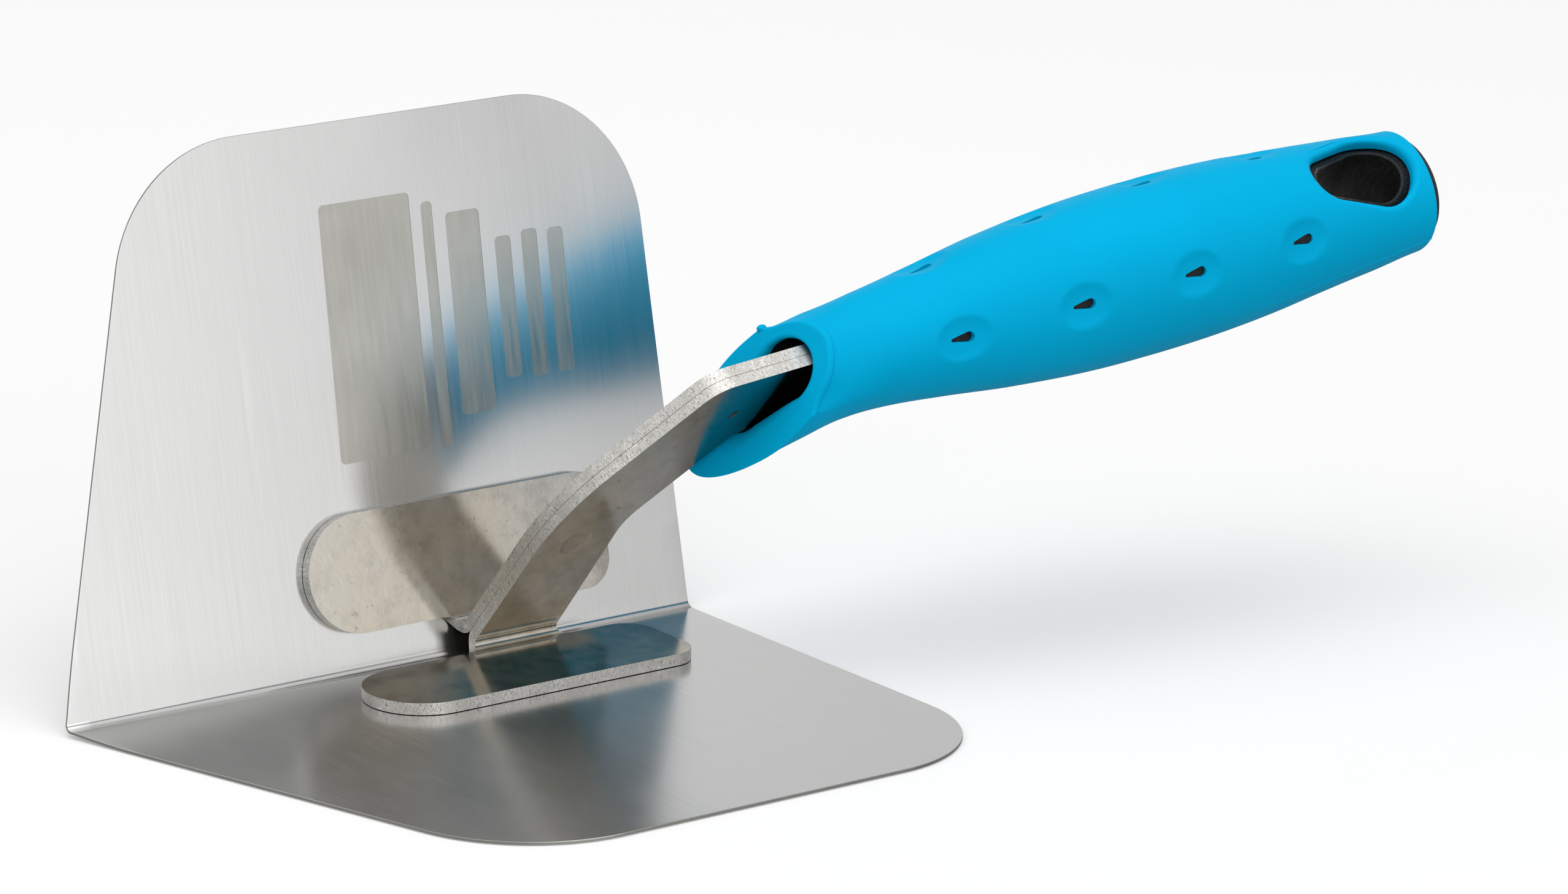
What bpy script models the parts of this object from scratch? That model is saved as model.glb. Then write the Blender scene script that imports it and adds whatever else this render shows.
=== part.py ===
"""Inside corner trowel.

One thin stainless sheet is folded into two wings. Two thicker brackets, mirror images of each
other, are spot welded to the wings by their feet. Their webs lie back to back in the plane that
halves the corner, and together they form the tang that runs into the handle. The handle is a hard
core with a soft grip sleeve moulded over it.

Frame: metres, +Z up, +Y along the fold towards the handle. The trowel stands on its lower wing,
and the origin is the middle of that wing's underside.

Places on the corner are given as (along, out, across): along the fold, out from the fold in the
halving plane, and across that plane towards the lower wing. Places on the handle are given as
(reach, rise, across): along the handle's axis, and away from the fold at right angles to it.
"""

from math import atan2, cos, hypot, pi, radians, sin, sqrt, tan

import bmesh
import bpy
from mathutils import Vector

GAP = 0.0003  # between faces that touch
HAIR = 0.000001  # keeps neighbouring points apart

# Blade
FOLD_LENGTH = 0.125
WING_WIDTH = 0.0915
CORNER_ANGLE = radians(103)
SHEET = 0.0005
FOLD_RADIUS = 0.0015  # inside the fold
TOE_SLANT = radians(16)
TOE_CORNER = 0.026
HEEL_CORNER = 0.024
FOLD_STEPS = 6

# Brackets
PLATE = 0.002
BEND_RADIUS = 0.00115
BEND_STEPS = 10
FOOT_TOE = -0.014
FOOT_HEEL = 0.046
FOOT_WIDTH = 0.020
FOOT_HEEL_CORNER = 0.0052
WEB_FRONT = 0.0143
WEB_REAR = 0.0308
NOTCH_RADIUS = 0.0034  # where the web leaves the foot
SHANK_LEAN = radians(56.6)  # from the fold, between the web and the tang
SHANK_FRONT_CORNER = (0.0164, 0.0400)  # along, out
SHANK_REAR_CORNER = (0.0317, 0.0354)
SHANK_FRONT_RADIUS = 0.042
SHANK_REAR_RADIUS = 0.012
TANG_BEND_RADIUS = 0.008
TANG_TOP = 0.0036  # rise of the tang's upper edge
TANG_BOTTOM = -0.0064
TANG_MOUTH = (-0.0086, -0.0116)  # reach, rise of the lower edge as it enters the handle
TANG_NECKED = 0.008  # reach at which the tang is down to its hidden width
TANG_END = 0.070
TANG_END_CORNER = 0.003

# Spot welds
WELD_RADIUS = 0.0024
WELD_THICKNESS = 0.0002
SHANK_WELDS = ((0.0238, 0.0314), (0.0419, 0.0614))  # along, out
FOOT_WELD_STATIONS = (-0.002, 0.016, 0.034)  # along
FOOT_WELD_WIDTH = 0.0174  # from the fold
WELD_SIDES = 20

# Handle
HANDLE_ORIGIN = (0.050, 0.06787)  # along, out
HANDLE_LEAN = radians(10.1)
SLEEVE_WALL = 0.0022
NOSE_POINT = (-0.0028, -0.0053)  # reach, rise of a point on the slanted nose face
NOSE_LEAN = radians(32.5)  # from square to the handle's axis
# reach, rise of the top, drop of the underside, half width, squareness above and below the middle
HANDLE_STATIONS = (
    (-0.0200, 0.0060, 0.0256, 0.0090, 1.5, 2.4),
    (-0.0130, 0.0066, 0.0217, 0.0095, 1.5, 2.4),
    (-0.0060, 0.0071, 0.0168, 0.0097, 1.5, 2.6),
    (0.0010, 0.0073, 0.0133, 0.0094, 1.5, 2.6),
    (0.0080, 0.0079, 0.0109, 0.0092, 1.75, 2.3),
    (0.0160, 0.0090, 0.0106, 0.0095, 2.15, 2.15),
    (0.0270, 0.0109, 0.0112, 0.0109, 2.1, 2.1),
    (0.0400, 0.0133, 0.0131, 0.0128, 2.0, 2.0),
    (0.0550, 0.0149, 0.0146, 0.0141, 2.0, 2.0),
    (0.0680, 0.0154, 0.0150, 0.0145, 2.0, 2.0),
    (0.0800, 0.0152, 0.0149, 0.0144, 2.0, 2.0),
    (0.0920, 0.0143, 0.0141, 0.0138, 2.0, 2.0),
    (0.1050, 0.0129, 0.0127, 0.0126, 2.0, 2.0),
    (0.1150, 0.0116, 0.0119, 0.0117, 2.0, 2.0),
    (0.1240, 0.0104, 0.0110, 0.0108, 2.0, 2.0),
)
RIM_ROUNDING = ((0.1246, 0.0002), (0.1250, 0.0006), (0.1253, 0.0012))  # reach, drawn in by
RIM_INSET = 0.0018  # from the outer surface to the inside of the rim
BUTT_DOME = 0.0033
DOME_STEPS = 6
CORE_FRONT = 0.0085
RING_SIDES = 36
STATION_STEPS = 3

# Mouth of the handle: (reach, rise of the top, rise of the bottom, half width above, below)
MOUTH_OUTER = (-0.022, 0.0047, -0.0184, 0.0054, 0.0030)
MOUTH_INNER = (0.0086, 0.0045, -0.0082, 0.0052, 0.0027)
MOUTH_OFFSET = -0.0004  # from the middle of the handle, towards the upper wing

# Hang hole, on the back of the handle near the butt
HOLE_TIP = 0.1018  # reach
HOLE_CENTRE = 0.1151
HOLE_RADIUS = 0.0071
HOLE_TIP_RADIUS = 0.0051
LINER_LEDGE = 0.0018  # from the sleeve's hole in to the core's
CUT_SPAN = 0.03  # half length of a cutter that passes right through

# Grip windows
WINDOW_REACHES = (0.0287, 0.0509, 0.0727, 0.0953)
WINDOW_TURN = radians(46)
WINDOW_LENGTH = 0.0042
WINDOW_RADIUS = 0.0009
DIMPLE_SIZE = (0.0052, 0.0042, 0.0009)  # half length, half width, depth

HALF_CORNER = CORNER_ANGLE / 2
APEX = Vector((-WING_WIDTH / 2, 0, 0))
ALONG = Vector((0, 1, 0))
OUT = Vector((cos(HALF_CORNER), 0, sin(HALF_CORNER)))
ACROSS = Vector((sin(HALF_CORNER), 0, -cos(HALF_CORNER)))
REACH = ALONG * cos(HANDLE_LEAN) + OUT * sin(HANDLE_LEAN)
RISE = OUT * cos(HANDLE_LEAN) - ALONG * sin(HANDLE_LEAN)


def clear_scene():
    for obj in list(bpy.data.objects):
        bpy.data.objects.remove(obj, do_unlink=True)


# Places


def corner_point(along, out, across):
    return APEX + ALONG * along + OUT * out + ACROSS * across


def wing_point(along, width, height, side):
    """A point over a wing: width from the fold, height off its outer face. side is 1 for the
    lower wing and -1 for the upper one."""
    out = width * cos(HALF_CORNER) + height * sin(HALF_CORNER)
    across = width * sin(HALF_CORNER) - height * cos(HALF_CORNER)
    return corner_point(along, out, side * across)


def handle_point(reach, rise, across):
    return corner_point(*HANDLE_ORIGIN, 0) + REACH * reach + RISE * rise + ACROSS * across


def on_corner(reach, rise):
    """(along, out) of a place in the halving plane that is given along the handle."""
    along, out = HANDLE_ORIGIN
    return (
        along + reach * cos(HANDLE_LEAN) - rise * sin(HANDLE_LEAN),
        out + reach * sin(HANDLE_LEAN) + rise * cos(HANDLE_LEAN),
    )


def crossing(point, angle, other, other_angle):
    """Where two lines cross, each given by a point and its direction."""
    gap = (other[0] - point[0], other[1] - point[1])
    turn = cos(angle) * sin(other_angle) - sin(angle) * cos(other_angle)
    step = (gap[0] * sin(other_angle) - gap[1] * cos(other_angle)) / turn
    return point[0] + step * cos(angle), point[1] + step * sin(angle)


def rounded(before, corner, after, radius, steps=8):
    """The arc that rounds a corner between two straight edges, as a list of points."""
    inward = [(p[0] - corner[0], p[1] - corner[1]) for p in (before, after)]
    lengths = [hypot(*v) for v in inward]
    first, last = [(v[0] / n, v[1] / n) for v, n in zip(inward, lengths)]
    half = atan2(abs(first[0] * last[1] - first[1] * last[0]), first[0] * last[0] + first[1] * last[1]) / 2
    middle = (first[0] + last[0], first[1] + last[1])
    scale = radius / sin(half) / hypot(*middle)
    centre = (corner[0] + middle[0] * scale, corner[1] + middle[1] * scale)
    start = atan2(corner[1] + first[1] * radius / tan(half) - centre[1],
                  corner[0] + first[0] * radius / tan(half) - centre[0])
    end = atan2(corner[1] + last[1] * radius / tan(half) - centre[1],
                corner[0] + last[0] * radius / tan(half) - centre[0])
    sweep = (end - start + pi) % (2 * pi) - pi
    return [
        (centre[0] + radius * cos(start + sweep * k / steps),
         centre[1] + radius * sin(start + sweep * k / steps))
        for k in range(steps + 1)
    ]


# Meshes and materials


def material(name, colour, roughness, metallic):
    made = bpy.data.materials.new(name)
    made.use_nodes = True
    shader = made.node_tree.nodes["Principled BSDF"]
    shader.inputs["Base Color"].default_value = (*colour, 1)
    shader.inputs["Roughness"].default_value = roughness
    shader.inputs["Metallic"].default_value = metallic
    return made


def add_object(name, mesh, finish=None):
    obj = bpy.data.objects.new(name, mesh)
    bpy.context.scene.collection.objects.link(obj)
    if finish:
        mesh.materials.append(finish)
    mesh.shade_smooth()
    mesh.set_sharp_from_angle(angle=radians(35))
    return obj


def mesh_from(name, points, faces):
    work = bmesh.new()
    corners = [work.verts.new(point) for point in points]
    for face in faces:
        work.faces.new([corners[k] for k in face])
    bmesh.ops.recalc_face_normals(work, faces=work.faces)
    mesh = bpy.data.meshes.new(name)
    work.to_mesh(mesh)
    work.free()
    return mesh


def loft(name, rings):
    """A closed solid through rings of the same number of points, with flat ends."""
    count = len(rings[0])
    points = [point for ring in rings for point in ring]
    faces = [list(range(count)), list(range(len(points) - count, len(points)))]
    for low in range(0, len(points) - count, count):
        for k in range(count):
            following = (k + 1) % count
            faces.append([low + k, low + following, low + count + following, low + count + k])
    return mesh_from(name, points, faces)


def folded_plate(name, first, rows, last):
    """A plate folded once. first and last are the outlines of its two flat parts, and rows cross
    the bend between them. Each place is a pair of points, one on either skin; a row holds the
    bend's two ends."""
    loop = [rows[0][1], *first, *(row[0] for row in rows), *last, *(row[1] for row in reversed(rows[1:]))]
    count = len(loop)
    flat = 1 + len(first)
    bend = len(rows)
    points = [pair[skin] for skin in (0, 1) for pair in loop]
    faces = []
    for skin in (0, count):
        faces.append([skin + k for k in range(flat + 1)])
        faces.append([skin + k for k in range(flat + bend - 1, flat + bend + len(last) + 1)])
        for k in range(bend - 1):
            rear = (count - k) % count
            faces.append([skin + flat + k, skin + flat + k + 1, skin + count - k - 1, skin + rear])
    for k in range(count):
        following = (k + 1) % count
        faces.append([k, following, count + following, count + k])
    return mesh_from(name, points, faces)


def cutter(name, mesh):
    obj = add_object(name, mesh)
    obj.hide_render = True
    obj.display_type = "WIRE"
    return obj


def cut(obj, *tools):
    for tool in tools:
        modifier = obj.modifiers.new(tool.name, "BOOLEAN")
        modifier.operation = "DIFFERENCE"
        modifier.solver = "EXACT"
        modifier.object = tool


# Blade


def blade_mesh():
    outer = FOLD_RADIUS + SHEET
    start = outer / tan(HALF_CORNER)
    heel = FOLD_LENGTH / 2

    def toe(width):
        return -FOLD_LENGTH / 2 + width * tan(TOE_SLANT)

    heel_inner, heel_outer = (heel, start), (heel, WING_WIDTH)
    toe_outer, toe_inner = (toe(WING_WIDTH), WING_WIDTH), (toe(start), start)
    outline = rounded(heel_inner, heel_outer, toe_outer, HEEL_CORNER, 14)
    outline += rounded(heel_outer, toe_outer, toe_inner, TOE_CORNER, 14)

    def wing(side):
        return [
            [wing_point(along, width, height, side) for height in (0, SHEET)]
            for along, width in outline
        ]

    def row(turn):
        centre = outer / sin(HALF_CORNER)
        return [
            [corner_point(along, centre - radius * cos(turn), radius * sin(turn))
             for radius in (outer, FOLD_RADIUS)]
            for along in (toe(start), heel)
        ]

    widest = pi / 2 - HALF_CORNER
    rows = [row(widest * (1 - 2 * k / FOLD_STEPS)) for k in range(FOLD_STEPS + 1)]
    return folded_plate("corner_blade", wing(1), rows, wing(-1)[::-1])


# Brackets


def shank_outline(start):
    """The web and tang's outline in the halving plane, from the front of the bend to its rear."""
    mouth = on_corner(*TANG_MOUTH)
    necked = on_corner(TANG_NECKED, TANG_BOTTOM)
    end_bottom = on_corner(TANG_END, TANG_BOTTOM)
    end_top = on_corner(TANG_END, TANG_TOP)
    front_turn = crossing(SHANK_FRONT_CORNER, SHANK_LEAN, end_top, HANDLE_LEAN)
    rear_turn = crossing(SHANK_REAR_CORNER, SHANK_LEAN, mouth, HANDLE_LEAN)
    front = (WEB_FRONT, start)
    rear = (WEB_REAR, start)
    return [
        *rounded(front, SHANK_FRONT_CORNER, front_turn, SHANK_FRONT_RADIUS, 10),
        *rounded(SHANK_FRONT_CORNER, front_turn, end_top, TANG_BEND_RADIUS),
        *rounded(front_turn, end_top, end_bottom, TANG_END_CORNER, 5),
        *rounded(end_top, end_bottom, necked, TANG_END_CORNER, 5),
        necked,
        *rounded(necked, rear_turn, SHANK_REAR_CORNER, TANG_BEND_RADIUS),
        *rounded(rear_turn, SHANK_REAR_CORNER, rear, SHANK_REAR_RADIUS),
    ]


def bracket_mesh(name, side):
    low, high = SHEET + GAP, SHEET + GAP + PLATE
    far, near = GAP / 2, GAP / 2 + PLATE
    radii = (BEND_RADIUS, BEND_RADIUS + PLATE)
    centre_across = near + BEND_RADIUS
    centre_out = (high + BEND_RADIUS + centre_across * cos(HALF_CORNER)) / sin(HALF_CORNER)
    edge = centre_out * cos(HALF_CORNER) + centre_across * sin(HALF_CORNER)
    turn = pi - HALF_CORNER
    half_plate = sum(radii) / 2

    def flare(folded):
        """How much wider the plate is at this distance into the bend, at each edge of the web."""
        left = max(0, NOTCH_RADIUS - folded)
        return NOTCH_RADIUS - sqrt(NOTCH_RADIUS**2 - left**2)

    def row(angle):
        wider = flare((turn - angle) * half_plate)
        return [
            [corner_point(along, centre_out - radius * sin(angle),
                          side * (centre_across - radius * cos(angle)))
             for radius in radii]
            for along in (WEB_REAR + wider, WEB_FRONT - wider)
        ]

    rows = [row(turn * (1 - k / BEND_STEPS)) for k in range(BEND_STEPS + 1)]
    far_edge = edge + FOOT_WIDTH
    toe_round = FOOT_WIDTH / 2 - HAIR
    front = (WEB_FRONT - flare(0), edge)
    rear = (WEB_REAR + flare(0), edge)
    corners = [(FOOT_TOE, edge), (FOOT_TOE, far_edge), (FOOT_HEEL, far_edge), (FOOT_HEEL, edge)]
    foot = [
        *rounded(front, corners[0], corners[1], toe_round, 10),
        *rounded(corners[0], corners[1], corners[2], toe_round, 10),
        *rounded(corners[1], corners[2], corners[3], FOOT_HEEL_CORNER, 6),
        *rounded(corners[2], corners[3], rear, FOOT_HEEL_CORNER, 6),
    ]
    first = [[wing_point(along, width, height, side) for height in (high, low)] for along, width in foot]
    last = [
        [corner_point(along, out, side * across) for across in (near, far)]
        for along, out in reversed(shank_outline(centre_out))
    ]
    return folded_plate(name, first, rows, last)


# Spot welds


def weld_mesh(name, centre, normal):
    """A thin disc between two plates."""
    normal = normal.normalized()
    sideways = normal.cross(ALONG)
    turns = [2 * pi * k / WELD_SIDES for k in range(WELD_SIDES)]
    rings = [
        [centre + normal * lift + (ALONG * cos(turn) + sideways * sin(turn)) * WELD_RADIUS for turn in turns]
        for lift in (-WELD_THICKNESS / 2, WELD_THICKNESS / 2)
    ]
    return loft(name, rings)


def add_welds(finish):
    for number, (along, out) in enumerate(SHANK_WELDS, 1):
        name = f"shank_weld_{number}"
        add_object(name, weld_mesh(name, corner_point(along, out, 0), ACROSS), finish)
    for side, wing in ((1, "lower"), (-1, "upper")):
        normal = wing_point(0, 0, 1, side) - wing_point(0, 0, 0, side)
        for number, along in enumerate(FOOT_WELD_STATIONS, 1):
            name = f"{wing}_foot_weld_{number}"
            centre = wing_point(along, FOOT_WELD_WIDTH, SHEET + GAP / 2, side)
            add_object(name, weld_mesh(name, centre, normal), finish)


# Handle


def blend(before, start, end, after, share):
    """Smooth curve between start and end that keeps the slope of its neighbours."""
    square, cube = share**2, share**3
    return (
        start
        + (end - before) / 2 * (share - 2 * square + cube)
        + (end - start) * (3 * square - 2 * cube)
        + (after - start) / 2 * (cube - square)
    )


def stations():
    """Sections along the handle, up to the rounded rim, as in HANDLE_STATIONS."""
    found = []
    last = len(HANDLE_STATIONS) - 1
    for k in range(last):
        around = [HANDLE_STATIONS[min(max(n, 0), last)] for n in range(k - 1, k + 3)]
        for step in range(STATION_STEPS):
            share = step / STATION_STEPS
            reach = around[1][0] + (around[2][0] - around[1][0]) * share
            found.append((reach, *(blend(*values, share) for values in list(zip(*around))[1:])))
    found.append(HANDLE_STATIONS[-1])
    return found


def ring(reach, top, bottom, half_width, above, below, inset=0.0):
    points = []
    for k in range(RING_SIDES):
        turn = 2 * pi * k / RING_SIDES
        rise, across = cos(turn), sin(turn)
        height, squareness = (top - inset, above) if rise > 0 else (bottom - inset, below)
        points.append(handle_point(
            reach,
            height * abs(rise) ** (2 / squareness) * (1 if rise > 0 else -1),
            (half_width - inset) * abs(across) ** (2 / squareness) * (1 if across > 0 else -1),
        ))
    return points


def sleeve_body():
    rings = [ring(*station) for station in stations()]
    end = HANDLE_STATIONS[-1]
    rings += [ring(reach, *end[1:], inset=drawn_in) for reach, drawn_in in RIM_ROUNDING]
    return loft("grip_sleeve", rings)


def inner_rings(inset, front, rear):
    """Rings inside the sleeve, from one reach to another."""
    inside = [station for station in stations() if front < station[0] < rear]
    first = next(s for s in stations() if s[0] >= front)
    rings = [ring(front, *first[1:], inset=inset)]
    rings += [ring(*station, inset=inset) for station in inside]
    return rings


def core_mesh():
    rings = inner_rings(SLEEVE_WALL + GAP, CORE_FRONT, HANDLE_STATIONS[-1][0] + HAIR)
    rim = RIM_ROUNDING[-1][0]
    half_sizes = [size - RIM_INSET - GAP for size in HANDLE_STATIONS[-1][1:4]]
    for k in range(DOME_STEPS):
        turn = pi / 2 * k / DOME_STEPS
        shrunk = [size * cos(turn) for size in half_sizes]
        rings.append(ring(rim + BUTT_DOME * sin(turn), *shrunk, *HANDLE_STATIONS[-1][4:]))
    return loft("handle_core", rings)


def cavity_mesh():
    rings = inner_rings(SLEEVE_WALL, CORE_FRONT - GAP, HANDLE_STATIONS[-1][0] + HAIR)
    rim = RIM_ROUNDING[-1][0]
    rings += [ring(rim + past, *HANDLE_STATIONS[-1][1:], inset=RIM_INSET) for past in (0, CUT_SPAN)]
    return loft("sleeve_cavity", rings)


def mouth_mesh():
    """A tapered slot with a round top, wide enough for the tang."""
    rings = []
    for reach, top, bottom, above, below in (MOUTH_OUTER, MOUTH_INNER):
        middle_top, middle_bottom = top - above, bottom + below
        steps = 8
        points = [(middle_top + above * cos(t), above * sin(t))
                  for t in (pi / 2 - pi * k / steps for k in range(steps + 1))]
        points += [(middle_bottom - below * cos(t), below * sin(t))
                   for t in (-pi / 2 + pi * k / steps for k in range(steps + 1))]
        rings.append([handle_point(reach, rise, MOUTH_OFFSET + across) for rise, across in points])
    return loft("mouth_slot", rings)


def nose_block():
    """Everything in front of the slanted nose face."""
    reach, rise = NOSE_POINT
    size = 2 * CUT_SPAN
    rings = []
    for across in (-size, size):
        corners = []
        for down, back in ((-size, 0), (size, 0), (size, size), (-size, size)):
            corners.append(handle_point(
                reach - down * sin(NOSE_LEAN) - back * cos(NOSE_LEAN),
                rise - down * cos(NOSE_LEAN) + back * sin(NOSE_LEAN),
                across,
            ))
        rings.append(corners)
    return loft("nose_cut", rings)


def slot_mesh():
    """Room for the tang inside the core."""
    half_width = GAP / 2 + PLATE + GAP
    rings = [
        [handle_point(reach, rise, across)
         for rise, across in ((TANG_TOP + GAP, half_width), (TANG_TOP + GAP, -half_width),
                              (TANG_BOTTOM - GAP, -half_width), (TANG_BOTTOM - GAP, half_width))]
        for reach in (0.0, TANG_END + GAP)
    ]
    return loft("tang_slot", rings)


def teardrop(tip, centre, radius, tip_radius, steps=20, tip_steps=6):
    """Outline with its tip at one end and a round end at the other, in (length, width)."""
    tip_centre = tip + tip_radius
    lean = pi / 2 - atan2(radius - tip_radius, centre - tip_centre)
    sweep = pi - lean
    turns = [-sweep + 2 * sweep * k / steps for k in range(steps + 1)]
    tip_turns = [sweep + 2 * lean * k / tip_steps for k in range(tip_steps + 1)]
    round_end = [(centre + radius * cos(t), radius * sin(t)) for t in turns]
    return round_end + [(tip_centre + tip_radius * cos(t), tip_radius * sin(t)) for t in tip_turns]


def hole_mesh(name, inset):
    outline = teardrop(HOLE_TIP + inset, HOLE_CENTRE, HOLE_RADIUS - inset, HOLE_TIP_RADIUS - inset)
    return loft(name, [[handle_point(length, rise, width) for length, width in outline]
                       for rise in (-CUT_SPAN, CUT_SPAN)])


def surface_at(reach, turn):
    """Point and outward direction on the sleeve, turned from the top towards the lower wing."""
    station = min(stations(), key=lambda s: abs(s[0] - reach))
    rise, across = station[1] * cos(turn), station[3] * sin(turn)
    outward = (RISE * (rise / station[1] ** 2) + ACROSS * (across / station[3] ** 2)).normalized()
    return handle_point(reach, rise, across), outward


def window_mesh(name, reach, turn):
    point, outward = surface_at(reach, turn)
    sideways = outward.cross(REACH).normalized()
    tip, centre = -WINDOW_LENGTH / 2, WINDOW_LENGTH / 2 - WINDOW_RADIUS
    outline = teardrop(tip, centre, WINDOW_RADIUS, WINDOW_RADIUS / 3, 10, 4)
    depth = SLEEVE_WALL + GAP / 2
    return loft(name, [
        [point + REACH * length + sideways * width + outward * lift for length, width in outline]
        for lift in (-depth, depth)
    ])


def dimple_mesh(name, reach, turn, around=16, down=6):
    point, outward = surface_at(reach, turn)
    sideways = outward.cross(REACH).normalized()
    length, width, depth = DIMPLE_SIZE
    rings = []
    for k in range(1, 2 * down):
        tilt = -pi / 2 + pi * k / (2 * down)
        rings.append([
            point + REACH * length * cos(tilt) * cos(2 * pi * n / around)
            + sideways * width * cos(tilt) * sin(2 * pi * n / around) + outward * depth * sin(tilt)
            for n in range(around)
        ])
    return loft(name, rings)


def add_handle(core_finish, grip_finish):
    core = add_object("handle_core", core_mesh(), core_finish)
    cut(core, cutter("tang_slot", slot_mesh()), cutter("core_hole", hole_mesh("core_hole", LINER_LEDGE)))
    sleeve = add_object("grip_sleeve", sleeve_body(), grip_finish)
    cut(
        sleeve,
        cutter("nose_cut", nose_block()),
        cutter("sleeve_cavity", cavity_mesh()),
        cutter("mouth_slot", mouth_mesh()),
        cutter("sleeve_hole", hole_mesh("sleeve_hole", 0)),
    )
    for row, turn in (("near", WINDOW_TURN), ("far", -WINDOW_TURN)):
        for number, reach in enumerate(WINDOW_REACHES, 1):
            dimple = f"{row}_dimple_{number}"
            window = f"{row}_window_{number}"
            cut(sleeve, cutter(dimple, dimple_mesh(dimple, reach, turn)),
                cutter(window, window_mesh(window, reach, turn)))


def build():
    clear_scene()
    satin_steel = material("satin_steel", (0.78, 0.78, 0.77), 0.32, 1)
    mill_steel = material("mill_steel", (0.56, 0.53, 0.50), 0.42, 1)
    weld_steel = material("weld_steel", (0.45, 0.43, 0.41), 0.5, 1)
    black_core = material("black_core", (0.012, 0.012, 0.013), 0.6, 0)
    blue_grip = material("blue_grip", (0.0, 0.42, 0.78), 0.5, 0)
    add_object("corner_blade", blade_mesh(), satin_steel)
    add_object("lower_bracket", bracket_mesh("lower_bracket", 1), mill_steel)
    add_object("upper_bracket", bracket_mesh("upper_bracket", -1), mill_steel)
    add_welds(weld_steel)
    add_handle(black_core, blue_grip)


build()
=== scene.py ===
"""Looks of the inside corner trowel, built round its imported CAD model.

Frame: metres, +Z up, +Y along the fold towards the handle, origin in the middle of the lower wing's
underside. Places on the corner are given as (along, out, across) and places on the handle as
(reach, rise, across), as the functions below explain.
"""

from contextlib import contextmanager
from math import atan2, cos, exp, hypot, pi, radians, sin, sqrt, tan

import bmesh
import bpy
from mathutils import Matrix, Vector


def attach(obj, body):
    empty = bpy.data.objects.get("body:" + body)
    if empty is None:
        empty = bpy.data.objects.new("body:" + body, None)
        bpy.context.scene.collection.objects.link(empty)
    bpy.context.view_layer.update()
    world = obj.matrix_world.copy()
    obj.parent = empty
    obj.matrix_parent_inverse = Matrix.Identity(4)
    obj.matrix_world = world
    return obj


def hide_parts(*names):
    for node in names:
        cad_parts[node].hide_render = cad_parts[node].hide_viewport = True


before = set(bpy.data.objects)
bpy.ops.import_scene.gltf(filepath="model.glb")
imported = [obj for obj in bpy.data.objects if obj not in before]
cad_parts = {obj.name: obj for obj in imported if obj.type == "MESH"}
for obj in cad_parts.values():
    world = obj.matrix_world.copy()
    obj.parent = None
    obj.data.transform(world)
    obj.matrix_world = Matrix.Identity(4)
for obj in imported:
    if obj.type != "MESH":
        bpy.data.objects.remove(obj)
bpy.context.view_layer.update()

GAP = 0.0003  # between faces that touch
HAIR = 0.000001

# Blade
FOLD_LENGTH = 0.125
WING_WIDTH = 0.0915
CORNER_ANGLE = radians(103)
SHEET = 0.0005
FOLD_RADIUS = 0.0015
TOE_SLANT = radians(16)
TOE_CORNER = 0.026
HEEL_CORNER = 0.024
FOLD_STEPS = 16
SHEET_BEVEL = 0.00009

# Where the sheet eases into the fold: (along, width of the eased band)
EASED_BAND = ((-0.0625, 0.0160), (-0.0116, 0.0056), (0.0100, 0.0030), (0.0625, 0.0024))
EASED_TILT = radians(6)
BAND_WIDTHS = (0.0028, 0.0036, 0.0046, 0.0058, 0.0072, 0.0088, 0.0106, 0.0124, 0.0142, 0.0162)
BAND_STEP = 0.005

# Etched panels on the upper wing: (along, width across the wing) of the lower front corner, size
PANELS = (
    ((-0.0036, 0.0350), (0.0180, 0.0430)),
    ((0.0166, 0.0350), (0.0022, 0.0410)),
    ((0.0215, 0.0396), (0.0068, 0.0340)),
    ((0.0312, 0.0445), (0.0032, 0.0238)),
    ((0.0366, 0.0440), (0.0032, 0.0248)),
    ((0.0419, 0.0440), (0.0032, 0.0244)),
)
PANEL_LEAN = 0.04
PANEL_DEPTH = 0.00006
PANEL_CORNER = 0.0009

# Brackets
PLATE = 0.002
PLATE_BEVEL = 0.00028
SEAM_GAP = 0.00005  # between the two plates as finished
FOOT_GAP = 0.00010
BEND_RADIUS = 0.00115
BEND_STEPS = 20
FOOT_TOE = -0.014
FOOT_HEEL = 0.046
FOOT_WIDTH = 0.020
FOOT_HEEL_CORNER = 0.0052
WEB_FRONT = 0.0143
WEB_REAR = 0.0308
NOTCH_RADIUS = 0.0034
SHANK_LEAN = radians(56.6)
SHANK_FRONT_CORNER = (0.0164, 0.0400)
SHANK_REAR_CORNER = (0.0317, 0.0354)
SHANK_FRONT_RADIUS = 0.042
SHANK_REAR_RADIUS = 0.012
TANG_BEND_RADIUS = 0.008
TANG_TOP = 0.0036
TANG_BOTTOM = -0.0064
TANG_MOUTH = (-0.0086, -0.0116)
TANG_NECKED = 0.008
TANG_END = 0.070
TANG_END_CORNER = 0.003

MOUTH_SHADE_REACH = (-0.0188, -0.0108)  # painted shade: the shank darkens towards the mouth over this stretch of the handle's reach

# Weld marks on the shank: (along, out), half length, half width, depth
WELD_MARKS = (
    ((0.0238, 0.0314), (0.0030, 0.0028, 0.00004)),
    ((0.0419, 0.0614), (0.0011, 0.0006, 0.00008)),
)

# Handle
HANDLE_ORIGIN = (0.050, 0.06787)
HANDLE_LEAN = radians(10.1)
SLEEVE_WALL = 0.0022
NOSE_POINT = (-0.0028, -0.0053)
NOSE_LEAN = radians(32.5)
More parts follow.
